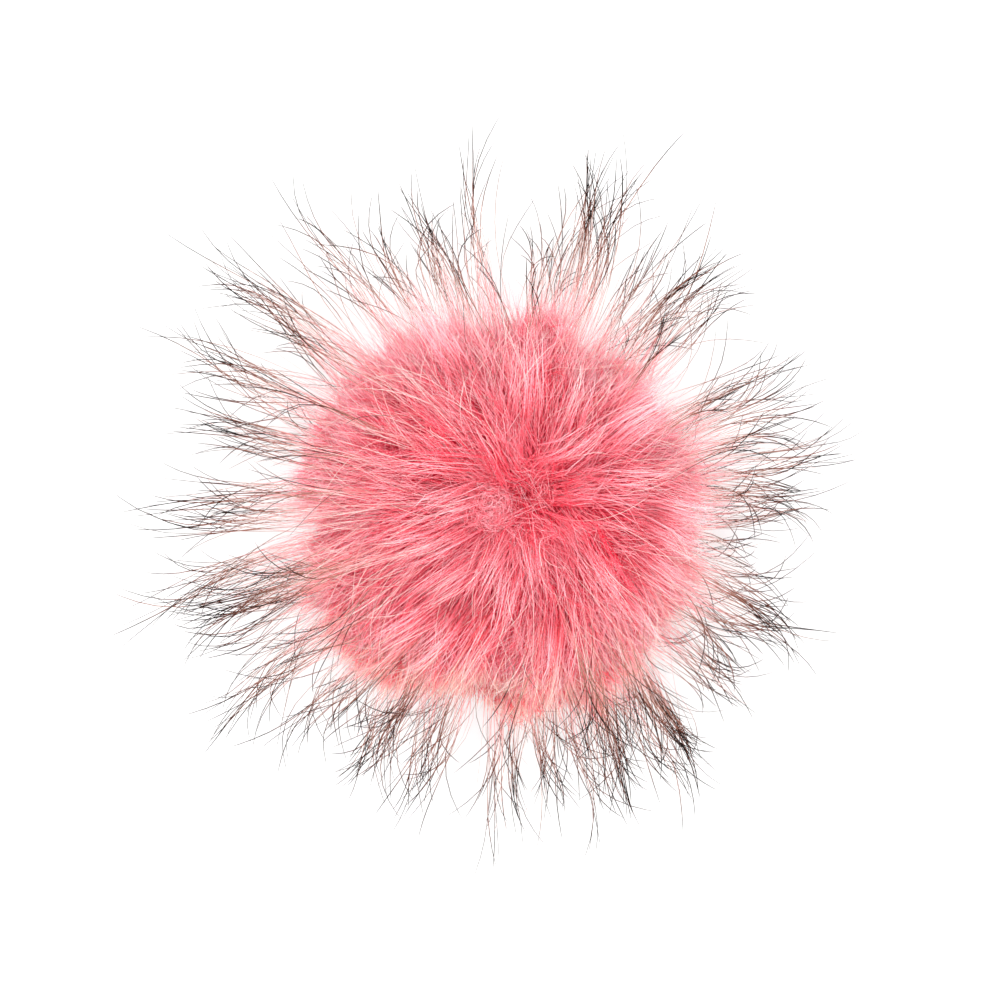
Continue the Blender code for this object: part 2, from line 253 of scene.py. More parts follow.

# Colours: red, green and blue from 0 to 255. Dyed fur has a dark and a light
# at its roots, middles and tips, and other pairs run from root to tip. The fur's deeper roots are
# partly painted shade deep in the fur, its lighter tips partly painted light on top, and its dark
# ends carry the painted shade of partings and furrows.
UNDERFUR_DYE_AND_SHADING = (((248, 44, 70), (253, 92, 112)),
                ((250, 62, 86), (255, 144, 159)),
                ((252, 92, 112), (255, 205, 212)))
FLUFF_DYE_AND_SHADING = (((249, 46, 72), (255, 146, 160)),
             ((251, 62, 88), (255, 198, 206)),
             ((252, 80, 102), (255, 223, 227)))
PEACH = ((254, 100, 112), (255, 226, 210))
ROSE_ROOTS = ((242, 60, 84), (252, 108, 128))
PALE_SHAFT = ((252, 156, 164), (252, 222, 217))
PALE_TIP = (255, 228, 222)
PALE_TIP_BROWN = (150, 92, 80)
GUARD_SHAFT = ((252, 168, 168), (158, 114, 100))
GUARD_BROWN = (112, 68, 57)
GUARD_DARK = (26, 19, 18)

# Painted glints and shade along the dyed fur, where its crimp would catch the light: noise cells
# over all the tones and along a hair
CRIMP_GLINT_ACROSS = 900.0
CRIMP_GLINT_ALONG = 26.0
CRIMP_GLINT_STRENGTH = 0.6

# Studio: pale surface, light from all round, and lamps with place, size and power
FLOOR_SIZE = 6.0
FLOOR_DROP = 0.2 * MM
FLOOR_GREY = 0.54
FLOOR_GLOW = 0.38
ROUND_LIGHT = 1.78
LAMPS = (
    ("key", (-0.4, 0.4, 1.0), 0.8, 4.0),
    ("fill", (0.5, -0.5, 0.9), 0.9, 2.0),
)

# Camera: one pixel is 0.215 mm at the height of the rim
FRAME_WIDTH = 0.215
CAMERA_HEIGHT = 1.15
RIM_HEIGHT = 0.030
SENSOR = 36.0


def srgb(red, green, blue):
    """Linear colour of a colour given as 0 to 255."""
    shares = [value / 255.0 for value in (red, green, blue)]
    linear = [s / 12.92 if s <= 0.04045 else ((s + 0.055) / 1.055) ** 2.4 for s in shares]
    return (*linear, 1.0)


def smooth(low, high, value):
    """Eased step from 0 at low to 1 at high."""
    share = np.clip((value - low) / (high - low), 0.0, 1.0)
    return share * share * (3.0 - 2.0 * share)


def unit(vectors):
    """Vectors made one long."""
    return vectors / np.maximum(np.linalg.norm(vectors, axis=-1, keepdims=True), 1e-12)


# ---------------------------------------------------------------- ball shape

def rim_radius(turn):
    """Radius of the dense fur at bearings in radians."""
    place = (turn % (2.0 * math.pi)) / (2.0 * math.pi) * len(RIM_RADII)
    row = place.astype(int) % len(RIM_RADII)
    eased = 0.5 - 0.5 * np.cos(np.pi * (place - place.astype(int)))
    return RIM_RADII[row] * (1.0 - eased) + RIM_RADII[(row + 1) % len(RIM_RADII)] * eased


def ball_points(ways, share):
    """Points of the ball in directions from its middle, at a share of its size."""
    turn = np.arctan2(ways[..., 1], ways[..., 0])
    level = np.hypot(ways[..., 0], ways[..., 1])
    radius = rim_radius(turn) * level ** DOME_FULLNESS * share
    lean = np.maximum(ways[..., 2], 0.0)
    half = np.where(ways[..., 2] >= 0.0, DOME_RISE, UNDERSIDE_DROP) * share
    return np.stack((radius * np.cos(turn) + WHORL[0] * lean,
                     radius * np.sin(turn) + WHORL[1] * lean,
                     EQUATOR_HEIGHT + half * ways[..., 2]), axis=-1)


def on_top(places):
    """Points on top of the fur at places given by x and y."""
    gap = np.linalg.norm(places - WHORL, axis=-1)
    level = np.minimum(gap / np.mean(RIM_RADII), 0.99) ** (1.0 / DOME_FULLNESS)
    height = EQUATOR_HEIGHT + DOME_RISE * np.sqrt(1.0 - level * level)
    height -= WHORL_DIP * np.exp(-(gap / WHORL_HALF_WIDTH) ** 2)
    return np.concatenate((places, height[..., None]), axis=-1)


def even_ways(count, dice, uneven):
    """Directions spread evenly over a sphere, moved a little at random."""
    number = np.arange(count) + 0.5
    height = 1.0 - 2.0 * number / count
    level = np.sqrt(1.0 - height * height)
    turn = number * GOLDEN_ANGLE
    ways = np.stack((level * np.cos(turn), level * np.sin(turn), height), axis=1)
    return unit(ways + dice.normal(0.0, uneven, ways.shape))


def combed(ways, aside):
    """Way that the fur lies at directions: away from the top of the ball, turned aside."""
    x, y, z = ways.T
    down = unit(np.stack((x * z, y * z, z ** 2 - 1.0), axis=1))
    across = np.cross(ways, down)
    return down * np.cos(aside)[:, None] + across * np.sin(aside)[:, None]


def fur_travel(ways):
    """How far round the ball underfur goes as it rises, in radians: away from both poles.

    Close to the whorl it stands nearly upright.
    """
    height = ways[:, 2]
    over = 0.42 * smooth(0.02, 0.8, height) * (1.0 - 0.4 * smooth(0.97, 0.998, height))
    return 0.05 + over - 0.30 * smooth(0.0, 0.85, -height)


def nearest(ways, targets):
    """For each direction, the number of the nearest target direction."""
    return np.argmax(ways @ targets.T, axis=1)


def lock_gaps(ways, lock_ways):
    """How far each direction is from each broad lock's middle; along the fur a gap counts half."""
    turn, lock_turn = (np.arctan2(way[:, 1], way[:, 0]) for way in (ways, lock_ways))
    lift, lock_lift = (np.arcsin(way[:, 2].clip(-1.0, 1.0)) for way in (ways, lock_ways))
    turn = (turn[:, None] - lock_turn + math.pi) % (2.0 * math.pi) - math.pi
    level = np.hypot(ways[:, 0], ways[:, 1])[:, None]
    return np.hypot(turn * level * 1.5, (lift[:, None] - lock_lift) * 0.75)


def lock_border(ways, lock_ways):
    """How near each direction is to the furrow between two broad locks, 0 to 1."""
    gaps = np.partition(lock_gaps(ways, lock_ways), 1, axis=1)
    return np.exp(-((gaps[:, 1] - gaps[:, 0]) / LOCK_BORDER) ** 2)


def near_parting(points):
    """For each point: way off the nearest parting, and how near it is, 0 to 1."""
    pull = np.zeros((*points.shape[:-1], 2))
    near = np.zeros(points.shape[:-1])
    for x0, y0, x1, y1, width in PARTINGS:
        start = np.array((x0, y0)) * MM
        run = np.array((x1, y1)) * MM - start
        here = points[..., :2] - start
        share = np.clip(here @ run / (run @ run), 0.0, 1.0)
        off = here - share[..., None] * run
        gap = np.linalg.norm(off, axis=-1) / (width * MM)
        weight = np.exp(-gap * gap) * (points[..., 2] > EQUATOR_HEIGHT)
        pull += unit(off) * weight[..., None]
        near = np.maximum(near, weight)
    return pull, near


def parted(points, t):
    """Points pushed off the partings, and sunk into them and the whorl."""
    pull, near = near_parting(points)
    points = points.copy()
    points[..., :2] += pull * PARTING_PUSH * t[:, None]
    gap = np.linalg.norm(points[..., :2] - WHORL, axis=-1) / WHORL_HALF_WIDTH
    dip = np.exp(-gap * gap) * WHORL_DIP * (points[..., 2] > EQUATOR_HEIGHT)
    points[..., 2] -= near * PARTING_DIP * t + dip
    return points


# ---------------------------------------------------------------- modelled hair

def select_none():
    """Leave edit mode and deselect everything."""
    if bpy.context.object and bpy.context.object.mode != "OBJECT":
        bpy.ops.object.mode_set(mode="OBJECT")
    bpy.ops.object.select_all(action="DESELECT")


def model_hair(name, cuts, taper):
    """One hair, three-sided, one long and one in radius, from z = 0 to z = 1.

    A thin cone is cut across at the given heights, and each ring is scaled to
    the taper's radius there.
    """
    select_none()
    bpy.ops.mesh.primitive_cone_add(vertices=3, radius1=1.0, radius2=0.0, depth=1.0,
                                    location=(0.0, 0.0, 0.5))
    hair = bpy.context.object
    hair.name = name
    bpy.ops.object.transform_apply(location=True, rotation=False, scale=False)
    bpy.ops.object.mode_set(mode="EDIT")
    for height in cuts:
        bpy.ops.mesh.select_all(action="SELECT")
        bpy.ops.mesh.bisect(plane_co=(0.0, 0.0, height), plane_no=(0.0, 0.0, 1.0))
    for height, radius in zip(cuts, taper):
        shape = bmesh.from_edit_mesh(hair.data)
        for vert in shape.verts:
            vert.select_set(abs(vert.co.z - height) < RING_REACH)
        shape.select_flush_mode()
        bmesh.update_edit_mesh(hair.data)
        grow = radius / (1.0 - height)
        bpy.ops.transform.resize(value=(grow, grow, 1.0), center_override=(0.0, 0.0, height))
    bpy.ops.object.mode_set(mode="OBJECT")
    return hair


def ring_heights(model):
    """Heights of a modelled hair's rings, from root to tip."""
    return np.unique(np.array([vert.co.z for vert in model.data.vertices]).round(5))


def bezier(handles, t):
    """Points at t along curves given as (count, 4, 3) handles."""
    s = 1.0 - t
    weights = np.stack((s ** 3, 3.0 * s * s * t, 3.0 * s * t * t, t ** 3))
    return np.einsum("nkc,kt->ntc", handles, weights)


def lay_hairs(name, model, middles, radii, tones, dice):
    """One mesh of copies of a modelled hair, each laid along its own middle points."""
    mesh = model.data
    spots = np.array([vert.co[:] for vert in mesh.vertices])
    ring = np.unique(spots[:, 2].round(5), return_inverse=True)[1]
    count = len(middles)
    middles = middles.copy()
    middles[..., 2] = np.maximum(middles[..., 2], FLOOR_CLEAR)
    ahead = unit(np.gradient(middles, axis=1))
    across = unit(np.cross(ahead, unit(dice.normal(size=(count, 1, 3)))))
    upward = np.cross(ahead, across)
    side = across[:, ring] * spots[:, 0][None, :, None]
    rise = upward[:, ring] * spots[:, 1][None, :, None]
    points = middles[:, ring] + (side + rise) * radii[:, None, None]
    points[..., 2] = np.maximum(points[..., 2], FLOOR_TOUCH)

    corners = np.array([loop.vertex_index for loop in mesh.loops])
    starts = np.array([face.loop_start for face in mesh.polygons])
    totals = np.array([face.loop_total for face in mesh.polygons])
    copies = np.arange(count)[:, None]
    all_corners = (corners + copies * len(spots)).astype(np.int32)
    all_starts = (starts + copies * len(corners)).astype(np.int32)
    body = bpy.data.meshes.new(name)
    body.vertices.add(count * len(spots))
    body.vertices.foreach_set("co", points.astype(np.float32).ravel())
    body.loops.add(count * len(corners))
    body.loops.foreach_set("vertex_index", all_corners.ravel())
    body.polygons.add(count * len(starts))
    body.polygons.foreach_set("loop_start", all_starts.ravel())
    body.polygons.foreach_set("loop_total", np.tile(totals, count).astype(np.int32))
    body.update(calc_edges=True)
    body.validate()

    around = np.arctan2(spots[:, 1], spots[:, 0]) / (2.0 * math.pi)
    around = np.where(np.hypot(spots[:, 0], spots[:, 1]) < RING_REACH, 0.0, around)
    strip = np.minimum((tones * TONE_STRIPS).astype(int), TONE_STRIPS - 1)
    u = (strip[:, None] + 0.5 + around[None, corners] * STRIP_FILL) / TONE_STRIPS
    v = np.broadcast_to(MAP_MARGIN + (1.0 - 2.0 * MAP_MARGIN) * spots[corners, 2], u.shape)
    layer = body.uv_layers.new(name=HAIR_MAP)
    layer.data.foreach_set("uv", np.stack((u, v), axis=-1).astype(np.float32).ravel())
    body.shade_smooth()
    piece = bpy.data.objects.new(name, body)
    bpy.context.scene.collection.objects.link(piece)
    return piece


# ---------------------------------------------------------------- finishes

class Value:
    """A number that changes over a surface; arithmetic on it adds Math nodes."""

    def __init__(self, finish, socket):
        self.finish = finish
        self.socket = socket

    def math(self, operation, first, second):
        """Math node on two numbers or values."""
        node = self.finish.node("ShaderNodeMath", {"operation": operation}, {0: first, 1: second})
        return Value(self.finish, node.outputs[0])

    def __add__(self, other):
        return self.math("ADD", self, other)

    def __radd__(self, other):
        return self.math("ADD", other, self)

    def __sub__(self, other):
        return self.math("SUBTRACT", self, other)

    def __rsub__(self, other):
        return self.math("SUBTRACT", other, self)

    def __mul__(self, other):
        return self.math("MULTIPLY", self, other)

    def __rmul__(self, other):
        return self.math("MULTIPLY", other, self)

    def __gt__(self, other):
        return self.math("GREATER_THAN", self, other)

    def eased(self, low, high):
        """Eased step from 0 at low to 1 at high."""
        node = self.finish.node("ShaderNodeMapRange", {"interpolation_type": "SMOOTHSTEP"},
                                {"Value": self, "From Min": low, "From Max": high})
        return Value(self.finish, node.outputs[0])


class Finish:
    """A material and the nodes that make it."""

    def __init__(self, name, roughness, specular):
        self.material = bpy.data.materials.new(name)
        self.material.use_nodes = True
        self.tree = self.material.node_tree
        self.shader = self.tree.nodes["Principled BSDF"]
        self.shader.inputs["Roughness"].default_value = roughness
        self.shader.inputs["Specular IOR Level"].default_value = specular

    def node(self, kind, settings, sockets):
        """A node with its settings first, then its sockets' values or links."""
        node = self.tree.nodes.new(kind)
        for name, value in settings.items():
            setattr(node, name, value)
        for name, value in sockets.items():
            if isinstance(value, Value):
                self.tree.links.new(value.socket, node.inputs[name])
            elif isinstance(value, bpy.types.NodeSocket):
                self.tree.links.new(value, node.inputs[name])
            else:
                node.inputs[name].default_value = value
        return node

    def mix(self, factor, first, second):
        """Colour between two colours, each given as 0 to 255 or as a socket."""
        first, second = (srgb(*colour) if isinstance(colour, tuple) else colour
                         for colour in (first, second))
        node = self.node("ShaderNodeMix", {"data_type": "RGBA"}, {0: factor, 6: first, 7: second})
        return node.outputs[2]

    def hair_place(self):
        """Tone of the hair, and place along it from root to tip."""
        place = self.node("ShaderNodeUVMap", {"uv_map": HAIR_MAP}, {})
        parts = self.node("ShaderNodeSeparateXYZ", {}, {0: place.outputs[0]})
        return Value(self, parts.outputs[0]), Value(self, parts.outputs[1])

    def colour(self, socket):
        """Link a colour to the surface."""
        self.tree.links.new(socket, self.shader.inputs["Base Color"])


def fur_finish(name, dye_and_shading):
    """Dyed fur: pink by its tone, between a dark and a light at root, middle and tip, or peach;
    the deeper roots and dark ends are partly painted shade, the lighter tips partly painted light.

    Its crimp shows as short painted glints and shade along each hair.
    """
    finish = Finish(name, 0.8, 0.0)
    tone, along = finish.hair_place()
    # Painted glints and shade: noise along each hair moves its tone lighter and darker
    spot = finish.node("ShaderNodeCombineXYZ", {},
                       {0: tone * CRIMP_GLINT_ACROSS, 1: along * CRIMP_GLINT_ALONG})
    crimp_glint = finish.node("ShaderNodeTexNoise", {"noise_dimensions": "2D"},
                        {"Vector": spot.outputs[0], "Scale": 1.0, "Detail": 1.0})
    crimp_glint = Value(finish, crimp_glint.outputs[0]).eased(0.32, 0.68) - 0.5
    lightness = (tone + crimp_glint * CRIMP_GLINT_STRENGTH).eased(0.0, PEACH_FROM)
    root, middle, tip = (finish.mix(lightness, dark, light) for dark, light in dye_and_shading)
    pink = finish.mix(along.eased(0.2, 0.6), root, middle)
    pink = finish.mix(along.eased(0.6, 1.0), pink, tip)
    peach = finish.mix(along.eased(0.3, 0.95), *PEACH)
    finish.colour(finish.mix(tone > PEACH_FROM, pink, peach))
    return finish.material


def pale_finish():
    """Thin hair: pale pink to white; the darkest tones turn light brown at the tip."""
    finish = Finish("pale_hair", 0.5, 0.15)
    tone, along = finish.hair_place()
    shaft = finish.mix(along.eased(0.1, 0.6), *PALE_SHAFT)
    tip = finish.mix(tone.eased(0.55, 1.0), PALE_TIP, PALE_TIP_BROWN)
    finish.colour(finish.mix(along.eased(0.55, 1.0), shaft, tip))
    return finish.material


def guard_finish():
    """Guard hair: pink shaft, brown, then near black from a place set by its tone."""
    finish = Finish("guard_hair", 0.6, 0.03)
    tone, along = finish.hair_place()
    shaft = finish.mix(along.eased(0.24, 0.46), *GUARD_SHAFT)
    onset = 0.89 - 0.38 * tone
    brown = finish.mix((along - onset).eased(-0.18, 0.04), shaft, GUARD_BROWN)
    finish.colour(finish.mix((along - onset).eased(-0.02, 0.16), brown, GUARD_DARK))
    return finish.material


def core_finish():
    """Close roots of the underfur on the ball: rose with fine streaks."""
    finish = Finish("fur_roots", 0.8, 0.0)
    place = finish.node("ShaderNodeTexCoord", {}, {}).outputs["Object"]
    fine = finish.node("ShaderNodeTexNoise", {"noise_dimensions": "3D"},
                       {"Vector": place, "Scale": 1400.0, "Detail": 3.0, "Roughness": 0.6})
    broad = finish.node("ShaderNodeTexNoise", {"noise_dimensions": "3D"},
                        {"Vector": place, "Scale": 160.0, "Detail": 2.0, "Roughness": 0.5})
    shade = Value(finish, fine.outputs[0]) * 0.6 + Value(finish, broad.outputs[0]) * 0.4
    finish.colour(finish.mix(shade.eased(0.3, 0.7), *ROSE_ROOTS))
    bump = finish.node("ShaderNodeBump", {},
                       {"Strength": 0.6, "Distance": 0.6 * MM, "Height": fine.outputs[0]})
    finish.tree.links.new(bump.outputs[0], finish.shader.inputs["Normal"])
    return finish.material


# ---------------------------------------------------------------- hair paths

def wrapped(ways, lies, travel, inner, outer, t, rise):
    """Directions and shares at t along hairs that go round the ball as they rise in its fur."""
    angle = travel[:, None] * t
    way = ways[:, None] * np.cos(angle)[..., None] + lies[:, None] * np.sin(angle)[..., None]
    share = inner[:, None] + (outer - inner)[:, None] * t ** rise
    return way, share


def waved(points, t, size, dice):
    """Points moved a little at random, more towards the tips."""
    return points + dice.normal(0.0, 1.0, points.shape) * (size * t)[:, None]


def place_tufts(dice):
    """Tufts of underfur and the broad locks that they gather in, as arrays by tuft."""
    lock_ways = even_ways(BROAD_LOCKS, dice, 0.09)
    lock_aside = dice.normal(0.0, LOCK_ASIDE, BROAD_LOCKS)
    lock_rise = dice.normal(0.0, LOCK_RISE, BROAD_LOCKS)
    lock_tone = dice.normal(0.0, LOCK_TONE, BROAD_LOCKS)
    # Painted shade: locks that sink below the others get darker tones
    lock_tone += SUNK_LOCK_PAINTED_SHADE * np.minimum(lock_rise, 0.0)
    ways = even_ways(TUFTS, dice, 0.03)
    lock = np.argmin(lock_gaps(ways, lock_ways), axis=1)
    whorl = ways[:, 2] > WHORL_TUFTS_ABOVE
    aside = lock_aside[lock] + dice.normal(0.0, TUFT_ASIDE, TUFTS)
    rougher = 1.0 + SIDES_ROUGHER * (1.0 - smooth(0.3, 0.8, np.abs(ways[:, 2])))
    return {
        "locks": lock_ways,
        "ways": ways,
        "aside": np.where(whorl, dice.uniform(-math.pi, math.pi, TUFTS), aside),
        "travel": fur_travel(ways) * dice.uniform(0.85, 1.15, TUFTS),
        "outer": 1.0 + (lock_rise[lock] + dice.normal(0.0, TUFT_RISE, TUFTS)) * rougher,
        "tone": lock_tone[lock] + dice.normal(0.0, TUFT_TONE, TUFTS),
        "grip": dice.uniform(0.0, TUFT_GRIP, TUFTS),
    }


def root_share(ways):
    """Share that the roots lie at in directions: deeper low on the sides, full again below."""
    down = -ways[..., 2]
    deeper = LOW_ROOTS_DEEPER * smooth(*LOW_SIDES, down)
    return ROOT_SHARE - deeper + UNDER_ROOTS_BACK * smooth(*UNDERNEATH, down)


def further(ways, dice):
    """How much further than its tuft each hair reaches: uneven on the sides, less low down."""
    height = ways[:, 2]
    sides = smooth(-0.25, 0.0, height) * (1.0 - smooth(0.25, 0.75, height))
    longer = sides * (SIDES_LONGER * dice.beta(1.0, 4.0, len(ways)) - SIDES_SHORTER)
    longer -= LOW_SHORTER * smooth(*LOW_SIDES, -height)
    longer += UNDER_LONGER * smooth(*UNDERNEATH, -height)
    return longer


def tufted(tufts, ways, t, dice):
    """Points of hairs that grow at directions and close in on their tufts.

    With them, each hair's tuft and how near it is to a furrow.
    """
    count = len(ways)
    tuft = nearest(ways, tufts["ways"])
    aside = tufts["aside"][tuft] + dice.normal(0.0, UNDERFUR_ASIDE, count)
    travel = fur_travel(ways) * dice.uniform(0.75, 1.2, count)
    longer = further(ways, dice)
    inner = root_share(ways)
    outer = tufts["outer"][tuft] + dice.normal(0.0, UNDERFUR_RISE, count) + longer
    outer = np.maximum(outer, inner + UNDERFUR_LEAST)
    way, share = wrapped(ways, combed(ways, aside), travel, inner, outer, t, UNDERFUR_CURVE)
    whole = np.ones(TUFTS)
    tuft_lies = combed(tufts["ways"], tufts["aside"])
    tuft_way = wrapped(tufts["ways"], tuft_lies, tufts["travel"], whole, whole, t, 1.0)[0]
    grip = (tufts["grip"][tuft][:, None] * t ** 1.5)[..., None]
    way = unit(way * (1.0 - grip) + tuft_way[tuft] * grip)
    border = lock_border(way[:, -1], tufts["locks"])
    share = share - FURROW_DEPTH * border[:, None] * t
    return parted(ball_points(way, share), t), tuft, border


def fur_tones(points, tuft_tones, border, tone, dice):
    """Tone of each underfur hair: painted shade darkens it in furrows and partings, painted light
    makes it paler low on the ball, it is paler at the rim and on top, and peach along the lower
    rim.
    """
    middle, spread = tone
    count = len(points)
    tips = points[:, -1]
    near = near_parting(tips)[1]
    bearing = np.degrees(np.arctan2(tips[:, 1], tips[:, 0])) % 360.0
    out = np.hypot(tips[:, 0], tips[:, 1]) / rim_radius(np.radians(bearing))
    lit = smooth(0.45, 0.95, tips[:, 2] / EQUATOR_HEIGHT)
    # Painted light: tips low on the ball, in its shade, are made paler
    low_tips_painted_light = 1.0 - smooth(0.3, 0.85, tips[:, 2] / EQUATOR_HEIGHT)
    paler = RIM_PALER * smooth(0.8, 1.04, out) + UNDERSIDE_PAINTED_LIGHT * low_tips_painted_light
    paler += TOP_PALER * (1.0 - smooth(0.15, 0.6, out))
    tones = middle + tuft_tones + dice.normal(0.0, spread, count) + paler
    # Painted shade: darker tones near partings and in the furrows between locks
    tones = np.clip(tones - PARTING_PAINTED_SHADE * near - FURROW_PAINTED_SHADE * border, 0.0, PINK_END)
    warm = np.exp(-((bearing - PEACH_BEARING) / PEACH_HALF_WIDTH) ** 2)
    warm = warm * smooth(0.86, 1.02, out) * lit
    peach = dice.random(count) < warm * PEACH_SHARE
    return np.where(peach, dice.uniform(*PEACH_TONES, count), tones)


def underfur_paths(tufts, t, dice):
    """Dense underfur over the whole ball, thinner underneath."""
    ways = even_ways(UNDERFUR_HAIRS, dice, 0.012)
    kept = dice.random(UNDERFUR_HAIRS) < UNDERFUR_THIN_SHARE
    ways = ways[(ways[:, 2] > UNDERFUR_THIN_BELOW) | kept]
    points, tuft, border = tufted(tufts, ways, t, dice)
    points = waved(points, t, UNDERFUR_WAVE, dice)
    tones = fur_tones(points, tufts["tone"][tuft], border, UNDERFUR_TONE, dice)
    return points, UNDERFUR_RADIUS * dice.uniform(0.6, 1.1, len(points)), tones


def fluff_paths(tufts, t, dice):
    """Short crimped ends of underfur, matted over the rest."""
    ways = even_ways(FLUFF_HAIRS, dice, 0.03)
    ways = ways[ways[:, 2] > FLUFF_ABOVE]
    height = ways[:, 2]
    count = len(ways)
    tuft = nearest(ways, tufts["ways"])
    lies = combed(ways, tufts["aside"][tuft] + dice.normal(0.0, FLUFF_ASIDE, count))
    travel = dice.uniform(0.5, 1.1, count) * np.maximum(np.abs(fur_travel(ways)), 0.12) * 0.66
    travel = np.where(height < 0.0, -travel, travel)
    border = lock_border(ways, tufts["locks"])
    outer = tufts["outer"][tuft] + dice.normal(0.01, 0.02, count) - FURROW_DEPTH * border
    shorter = SIDE_FLUFF_SHORTER * (1.0 - smooth(0.1, 0.5, height))
    shorter += LOW_FLUFF_SHORTER * smooth(*LOW_SIDES, -height)
    outer = np.maximum(outer - shorter, root_share(ways) + FLUFF_LEAST)
    inner = outer - dice.uniform(0.04, 0.13, count)
    way, share = wrapped(ways, lies, travel, inner, outer, t, 0.8)
    points = waved(parted(ball_points(way, share), t), 0.4 + 0.6 * t, FLUFF_WAVE, dice)
    tones = fur_tones(points, tufts["tone"][tuft], border, FLUFF_TONE, dice)
    return points, FLUFF_RADIUS * dice.uniform(0.7, 1.2, count), tones


def whorl_paths(t, dice):
    """Underfur that leaves the narrow slit of the whorl to all sides."""
    off = dice.normal(0.0, 0.035, (WHORL_HAIRS, 2))
    along = dice.uniform(-WHORL_SLIT, WHORL_SLIT, WHORL_HAIRS)
    ways = unit(np.stack((along + off[:, 0], off[:, 1], np.ones(WHORL_HAIRS)), axis=1))
    turn = np.arctan2(off[:, 1], off[:, 0]) + dice.normal(0.0, 0.4, WHORL_HAIRS)
    lies = np.stack((np.cos(turn), np.sin(turn), np.zeros(WHORL_HAIRS)), axis=1)
    lies = unit(lies - ways * np.sum(lies * ways, axis=1, keepdims=True))
    inner = dice.uniform(0.78, 0.9, WHORL_HAIRS)
    outer = dice.normal(1.0, 0.025, WHORL_HAIRS)
    way, share = wrapped(ways, lies, dice.uniform(0.16, 0.44, WHORL_HAIRS), inner, outer, t, 0.6)
    points = waved(parted(ball_points(way, share), t), t, WHORL_WAVE, dice)
    tones = fur_tones(points, 0.0, 0.0, WHORL_TONE, dice)
    return points, UNDERFUR_RADIUS * dice.uniform(0.6, 1.0, WHORL_HAIRS), tones


def rim_paths(t, dice):
    """Thin hair that stands out of the sides and softens the rim."""
    turn = dice.uniform(0.0, 2.0 * math.pi, RIM_HAIRS)
    height = dice.normal(0.1, 0.32, RIM_HAIRS).clip(-0.6, 0.8)
    level = np.sqrt(1.0 - height ** 2)
    ways = np.stack((level * np.cos(turn), level * np.sin(turn), height), axis=1)
    lies = combed(ways, dice.uniform(-math.pi, math.pi, RIM_HAIRS))
    travel = np.abs(dice.normal(0.0, 0.12, RIM_HAIRS))
    outer = 1.02 + 0.28 * dice.beta(1.2, 3.0, RIM_HAIRS)
    way, share = wrapped(ways, lies, travel, np.full(RIM_HAIRS, 0.8), outer, t, 1.0)
    points = waved(ball_points(way, share), t, 0.35 * MM, dice)
    bend = dice.normal(0.0, RIM_HAIR_BEND, (RIM_HAIRS, 1, 3)) * t[:, None] ** 2
    tones = dice.random(RIM_HAIRS) ** 1.3
    return points + bend, RIM_HAIR_RADIUS * dice.uniform(0.7, 1.2, RIM_HAIRS), tones


def laid_paths(t, dice):
    """Long pale hairs that lie over the top in loose arcs, single and in thin locks."""
    turn = [dice.uniform(0.0, 2.0 * math.pi, LAID_HAIRS)]
    tilt = [dice.uniform(0.12, 0.85, LAID_HAIRS)]
    loose = [np.ones(LAID_HAIRS)]
    for bearing, angle, hairs in LAID_LOCKS:
        turn.append(np.radians(bearing + dice.normal(0.0, 3.0, hairs)))
        tilt.append(dice.normal(angle, 0.06, hairs))
        loose.append(np.full(hairs, 0.25))
    turn, tilt, loose = np.concatenate(turn), np.concatenate(tilt), np.concatenate(loose)
    count = len(turn)
    level = np.sin(tilt)
    ways = np.stack((level * np.cos(turn), level * np.sin(turn), np.cos(tilt)), axis=1)
    lies = combed(ways, dice.normal(0.0, LAID_ASIDE, count) * loose)
    across = np.cross(ways, lies)
    travel = dice.uniform(0.4, 0.85, count) * (1.25 - 0.5 * tilt)
    outer = dice.uniform(1.02, 1.1, count)
    way, share = wrapped(ways, lies, travel, np.full(count, 0.9), outer, t, 0.5)
    bend = (dice.normal(0.0, 0.2, count) * loose)[:, None, None] * t[:, None] ** 2
    way = unit(way + across[:, None] * bend)
    brown = dice.random(count) < LAID_BROWN * loose
    tones = np.where(brown, BROWN_TONE, dice.uniform(0.0, 0.5, count))
    return ball_points(way, share), PALE_RADIUS * dice.uniform(0.75, 1.2, count), tones


def knot_paths(t, dice):
    """Short hairs that go loosely round a knot of fur beside the whorl."""
    reach = KNOT_HALF_WIDTH * dice.uniform(0.0, 1.0, KNOT_HAIRS) ** 0.7
    sweep = dice.uniform(2.0, 5.0, KNOT_HAIRS) * MM / np.maximum(reach, 2.4 * MM)
    turn = dice.uniform(0.0, 2.0 * math.pi, KNOT_HAIRS)[:, None] + sweep[:, None] * t
    reach = reach[:, None] * (1.0 + dice.normal(0.0, 0.5, (KNOT_HAIRS, 1)) * t)
    middle = KNOT + dice.normal(0.0, 1.2 * MM, (KNOT_HAIRS, 1, 2))
    places = middle + np.stack((np.cos(turn), 0.85 * np.sin(turn)), axis=-1) * reach[..., None]
    points = on_top(places)
    rise = KNOT_RISE * np.exp(-(reach / KNOT_HALF_WIDTH) ** 2)
    points[..., 2] += rise + dice.normal(0.0, 0.5 * MM, (KNOT_HAIRS, 1)) - 0.4 * MM
    return waved(points, 0.5 + 0.5 * t, 0.15 * MM, dice)


def mat_paths(t, dice):
    """Short matted hairs in the whorl's slit, lying every way."""
    places = WHORL + dice.normal(0.0, 1.0, (MAT_HAIRS, 2)) * MAT_SPREAD
    turn = dice.uniform(0.0, 2.0 * math.pi, MAT_HAIRS)
    run = np.stack((np.cos(turn), np.sin(turn)), axis=1)
    run = run * dice.uniform(1.0, 2.4, (MAT_HAIRS, 1)) * MM
    points = on_top(places[:, None] + run[:, None] * (t[:, None] - 0.5) * 2.0)
    points[..., 2] -= dice.uniform(0.6, 3.4, (MAT_HAIRS, 1)) * MM + 0.8 * MM * (2.0 * t - 1.0) ** 2
    return waved(points, np.ones(len(t)), 0.1 * MM, dice)


